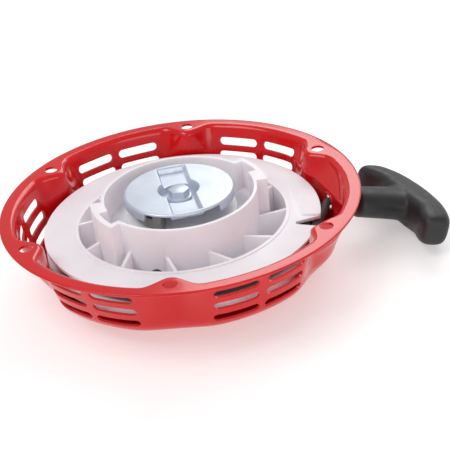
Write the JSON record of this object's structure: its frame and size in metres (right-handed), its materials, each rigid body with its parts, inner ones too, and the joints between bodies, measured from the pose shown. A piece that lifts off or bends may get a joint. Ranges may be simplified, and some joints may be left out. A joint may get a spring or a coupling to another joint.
{
  "type": "recoil starter",
  "caption": "Pull-cord recoil starter for a small engine: red pressed cover, rope reel with pawls and metal ratchet guide, coil spring and T-grip.",
  "frame": {"origin": "centre of the mounting-hole circle on the flange's mating face", "axes": "+Z along the case axis with the open side up, +X to the middle of the rope outlet's sector"},
  "size_m": [0.2461, 0.198, 0.0508],
  "materials": {
    "case_red": "glossy red enamel on pressed sheet steel",
    "post_steel": "turned bare steel",
    "zinc_plate": "pale blue-white zinc plating",
    "spring_steel": "oiled spring steel",
    "reel_nylon": "natural translucent nylon, faintly pink from the case round it",
    "rope_black": "braided black cord",
    "grip_black": "matte moulded black plastic",
    "pawl_steel": "dark hardened steel"
  },
  "bodies": {
    "case": {"starter_case": "case_red", "centre_post": "post_steel", "centre_bolt": "zinc_plate", "recoil_spring": "spring_steel", "rope_lead": "rope_black"},
    "rope_reel": {"reel": "reel_nylon", "rope_coil": "rope_black", "reel_knot": "rope_black", "pawl_spring_a": "spring_steel", "pawl_spring_b": "spring_steel"},
    "guide": {"ratchet_guide": "zinc_plate", "friction_spring": "spring_steel"},
    "pawl_first": {"pawl_a": "pawl_steel"},
    "pawl_second": {"pawl_b": "pawl_steel"},
    "grip": {"pull_handle": "grip_black", "handle_knot": "rope_black", "rope_run": "rope_black"}
  },
  "joints": [
    {"name": "reel_spin", "type": "hinge", "parent": "case", "child": "rope_reel", "pos_m": [0, 0, -0.018], "axis": [0, 0, 1], "range_deg": [0, 720], "stiffness_Nm_per_rad": 0.03, "springref_deg": -572.96, "deforming": ["recoil_spring", "rope_coil"]},
    {"name": "handle_pull", "type": "slide", "parent": "case", "child": "grip", "axis": [0.8818, 0.3563, -0.309], "range_m": [0, 0.886], "deforming": ["rope_run"]},
    {"name": "guide_turn", "type": "hinge", "parent": "rope_reel", "child": "guide", "pos_m": [0, 0, 0], "axis": [0, 0, -1], "range_deg": [0, 20], "stiffness_Nm_per_rad": 0.02, "springref_deg": -17.19},
    {"name": "pawl_a_swing", "type": "hinge", "parent": "rope_reel", "child": "pawl_first", "pos_m": [-0.01879, -0.00684, -0.004], "axis": [0, 0, -1], "range_deg": [0, 20], "deforming": ["pawl_spring_a"]},
    {"name": "pawl_b_swing", "type": "hinge", "parent": "rope_reel", "child": "pawl_second", "pos_m": [0.01879, 0.00684, -0.004], "axis": [0, 0, -1], "range_deg": [0, 20], "deforming": ["pawl_spring_b"]}
  ],
  "couplings": [
    {"joint": "handle_pull", "follows": "reel_spin", "m_per_rad": 0.0705},
    {"joint": "pawl_a_swing", "follows": "guide_turn", "ratio": 1},
    {"joint": "pawl_b_swing", "follows": "guide_turn", "ratio": 1}
  ]
}
